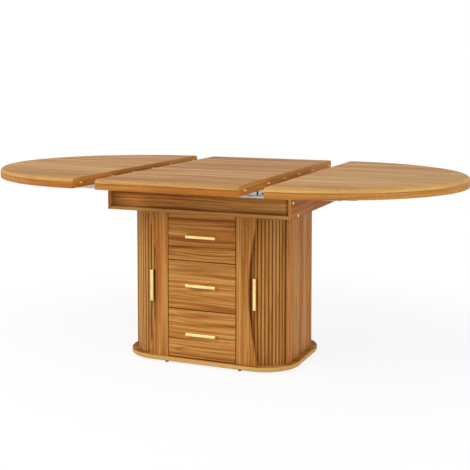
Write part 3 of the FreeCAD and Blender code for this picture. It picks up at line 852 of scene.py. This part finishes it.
def add_dowels():
    """Grooved dowels with bevelled ends in the edges of the centre leaf and the left leaf."""
    wood = pale_wood("dowel_wood", ALONG_X, X_AXIS, DOWEL_WOOD, seed=971.0)
    for node, body in (("centre_leaf_dowels", "centre"), ("left_leaf_dowels", "left_end")):
        points, faces = [], []
        for low, high in solids(node):
            middle = (low + high) / 2
            radius = (high.z - low.z) / 2
            length = high.x - low.x
            end = radius * DOWEL_END_SHARE
            profile = [(0.0, end, plain), (DOWEL_CHAMFER, radius, fluted),
                       (length - DOWEL_CHAMFER, radius, fluted), (length, end, plain)]
            turned(points, faces, (low.x, middle.y, middle.z), (1, 0, 0), profile, FLUTE_SIDES)
        dowels = add_piece(node + "_grooved", points, faces, wood, body, "dowel_wood")
        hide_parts(node)


def add_feet():
    """Glide feet: a stem under a wider flange."""
    points, faces = [], []
    for low, high in solids("feet"):
        middle = (low + high) / 2
        height = high.z - low.z
        profile = rings(FOOT_STEM, height, FOOT_STEM_RADIUS)
        profile += rings(FOOT_FLANGE, height, (high.x - low.x) / 2)
        turned(points, faces, (middle.x, middle.y, low.z), (0, 0, 1), profile)
    plastic = moulded_plastic("foot_plastic", FOOT_PLASTIC, seed=1.0)
    feet = add_piece("glide_feet", points, faces, plastic, "cabinet", "foot_plastic")
    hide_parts("feet")


def add_bearing_balls():
    """Balls of the swivel bearing, between its two rings."""
    points, faces = [], []
    for low, high in solids("swivel_balls"):
        radius = (high.z - low.z) / 2
        profile = []
        for number in range(BALL_RINGS + 1):
            angle = math.pi * number / BALL_RINGS
            reach = radius * max(math.sin(angle), BALL_POLE_SHARE)
            profile.append((-radius * math.cos(angle), reach, plain))
        turned(points, faces, (low + high) / 2, (0, 0, 1), profile)
    steel = brushed_metal("ball_steel", Z_AXIS, BALL_STEEL, seed=115.0)
    balls = add_piece("bearing_balls", points, faces, steel, "cabinet", "slide_steel")
    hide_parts("swivel_balls")


def screw_profile(head_radius=SCREW_HEAD_RADIUS, head_height=SCREW_HEAD_HEIGHT):
    """Pan-head screw with a cross recess, from the end of its hidden shank to the recess."""
    return (rings(SCREW_SHANK + SCREW_HEAD, head_height, head_radius)
            + rings(SCREW_RECESS, head_height, head_radius, cross))


def add_screws():
    """Screws of the drawer handles, inside the fronts, and of the angles under the end leaves."""
    zinc = brushed_metal("screw_zinc", X_AXIS, ZINC, seed=113.0)
    for number in DRAWERS:
        points, faces = [], []
        low, high = (Vector(corner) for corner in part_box("drawer_handle_%d" % number))
        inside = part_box("drawer_front_%d" % number)[1][1]
        for side in (-1, 1):
            place = (side * HANDLE_SCREW_PLACE, inside, (low.z + high.z) / 2)
            turned(points, faces, place, (0, 1, 0), screw_profile())
        add_piece("handle_screws_%d" % number, points, faces, zinc, "drawer_%d" % number, "slide_steel")
    for side in ("left", "right"):
        points, faces = [], []
        for low, high in solids(side + "_leaf_angles"):
            across, seat = (low.y + high.y) / 2, high.z - ANGLE_THICKNESS
            for share in ANGLE_SCREW_SHARES:
                place = (low.x + share * (high.x - low.x), across, seat)
                turned(points, faces, place, (0, 0, -1), screw_profile())
        add_piece(side + "_angle_screws", points, faces, zinc, side + "_end", "slide_steel")


def add_slide_fittings():
    """Dark stops and screws in the openings of the fixed slide channels."""
    stops, screws = ([], []), ([], [])
    low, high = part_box("slide_channels")
    level = (low[2] + high[2]) / 2
    stop_profile = rings(STOP_PAD, SLIDE_WEB, 1.0, oblong(STOP_HALF_WIDTH, STOP_HALF_HEIGHT))
    for bearer, forward in (("front_bearer", -1), ("back_bearer", 1)):
        face = forward * max(abs(corner[1]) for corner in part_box(bearer))
        for side in (-1, 1):
            turned(*stops, (side * STOP_PLACE, face, level), (0, forward, 0), stop_profile, PAD_SIDES)
            turned(*screws, (side * SLIDE_SCREW_PLACE, face, level), (0, forward, 0),
                   screw_profile(SLIDE_SCREW_RADIUS, SLIDE_SCREW_HEIGHT))
    plastic = moulded_plastic("stop_plastic", STOP_PLASTIC, seed=2.0)
    add_piece("slide_stops", *stops, plastic, "top_frame", "foot_plastic")
    steel = brushed_metal("screw_steel", X_AXIS, DARK_STEEL, seed=121.0)
    add_piece("slide_screws", *screws, steel, "top_frame", "slide_steel")


def seen_directly(tree):
    """1 for camera, glossy and transmission rays."""
    path = tree.nodes.new("ShaderNodeLightPath")
    total = path.outputs["Is Camera Ray"]
    for ray in ("Is Glossy Ray", "Is Transmission Ray"):
        larger = tree.nodes.new("ShaderNodeMath")
        larger.operation = "MAXIMUM"
        tree.links.new(total, larger.inputs[0])
        tree.links.new(path.outputs[ray], larger.inputs[1])
        total = larger.outputs[0]
    return total


def make_floor():
    """Pale floor that keeps a soft shadow near the table and turns white away from it."""
    half = FLOOR_SIZE / 2
    corners = [(-half, -half, 0), (half, -half, 0), (half, half, 0), (-half, half, 0)]
    mesh = bpy.data.meshes.new("studio_floor")
    mesh.from_pydata(corners, [], [(0, 1, 2, 3)])
    floor = bpy.data.objects.new("studio_floor", mesh)
    bpy.context.scene.collection.objects.link(floor)
    graph = Graph("studio_floor")
    x, y, _ = graph.parts(graph.place())
    share = graph.step(graph.hypotenuse(x, y), FLOOR_WHITE_NEAR, FLOOR_WHITE_FAR, FLOOR_WHITE_SHARE, 1.0)
    share = graph.math("MULTIPLY", seen_directly(graph.tree), share)
    matt = graph.add("ShaderNodeBsdfDiffuse", {"Color": FLOOR_COLOUR})
    white = graph.add("ShaderNodeEmission", {"Color": WHITE, "Strength": 1.0})
    mixed = graph.add("ShaderNodeMixShader", {0: share, 1: matt.outputs[0], 2: white.outputs[0]})
    graph.add("ShaderNodeOutputMaterial", {0: mixed.outputs[0]})
    mesh.materials.append(graph.material)


def make_world():
    """White where it is seen, and a plain soft light elsewhere."""
    world = bpy.data.worlds.new("studio_world")
    bpy.context.scene.world = world
    world.use_nodes = True
    tree = world.node_tree
    background = tree.nodes["Background"]
    background.inputs["Color"].default_value = WHITE
    strength = tree.nodes.new("ShaderNodeMapRange")
    tree.links.new(seen_directly(tree), strength.inputs[0])
    strength.inputs[3].default_value = WORLD_LIGHT
    strength.inputs[4].default_value = 1.0
    tree.links.new(strength.outputs[0], background.inputs["Strength"])


def make_lights():
    """Square lamps that each face a point."""
    for name, place, aim, size, power in LAMPS:
        lamp = bpy.data.lights.new(name, "AREA")
        lamp.size = size
        lamp.energy = power
        softbox = bpy.data.objects.new(name, lamp)
        bpy.context.scene.collection.objects.link(softbox)
        softbox.location = place
        softbox.rotation_euler = (Vector(aim) - Vector(place)).to_track_quat("-Z", "Y").to_euler()


def make_camera():
    """Camera at the photograph's viewing angle."""
    lens = bpy.data.cameras.new("photo_camera")
    lens.sensor_width = SENSOR_WIDTH
    lens.lens = SENSOR_WIDTH * FOCAL_PIXELS / IMAGE_SIZE
    lens.shift_y = (CENTRE_ROW - IMAGE_SIZE / 2) / IMAGE_SIZE
    camera = bpy.data.objects.new("photo_camera", lens)
    bpy.context.scene.collection.objects.link(camera)
    camera.location = CAMERA_PLACE
    camera.rotation_euler = (math.pi / 2 - CAMERA_PITCH, 0.0, CAMERA_YAW)
    bpy.context.scene.camera = camera


paint_leaves_and_apron()
paint_cabinet()
paint_drawer_boxes()
paint_metals()
paint_cloths()
add_bolts()
add_dowels()
add_feet()
add_bearing_balls()
add_screws()
add_slide_fittings()
make_floor()
make_world()
make_lights()
make_camera()
bpy.context.scene.view_settings.view_transform = "Standard"
